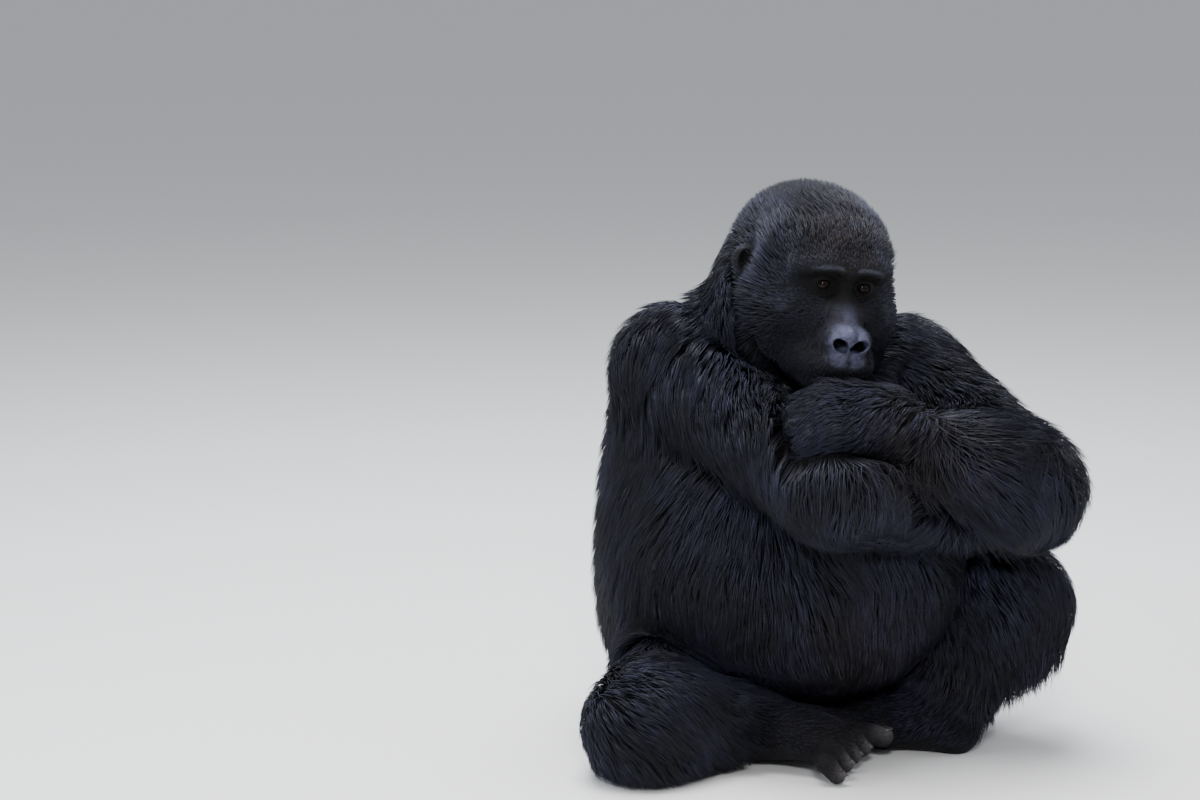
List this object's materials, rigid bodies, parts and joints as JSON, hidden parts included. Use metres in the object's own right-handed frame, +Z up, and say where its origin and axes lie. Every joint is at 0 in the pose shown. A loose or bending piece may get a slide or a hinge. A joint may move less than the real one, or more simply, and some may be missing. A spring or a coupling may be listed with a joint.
{
  "type": "gorilla",
  "caption": "Life-size gorilla sitting on the ground with folded legs, arms crossed in front and one hand held to its mouth.",
  "frame": {"origin": "on the floor, at the centre of the flat under the seat", "axes": "+Z up; the trunk faces -Y; +X is the animal's left"},
  "size_m": [0.6903, 0.658, 0.754],
  "materials": {
    "coat": "shaggy near-black hair with a bluish sheen",
    "skin": "wrinkled dark grey skin, slightly glossy at the nose",
    "eye": "wet dark brown"
  },
  "bodies": {
    "root": {"head": "coat", "neck": "coat", "chest": "coat", "belly": "coat", "pelvis": "coat", "eye_right": "eye", "eye_left": "eye", "ear_right": "skin", "ear_left": "skin", "upper_arm_right": "coat", "forearm_right": "coat", "hand_right": "skin", "upper_arm_left": "coat", "forearm_left": "coat", "hand_left": "skin", "thigh_right": "coat", "shin_right": "coat", "foot_right": "skin", "thigh_left": "coat", "shin_left": "coat", "foot_left": "skin"}
  },
  "joints": []
}
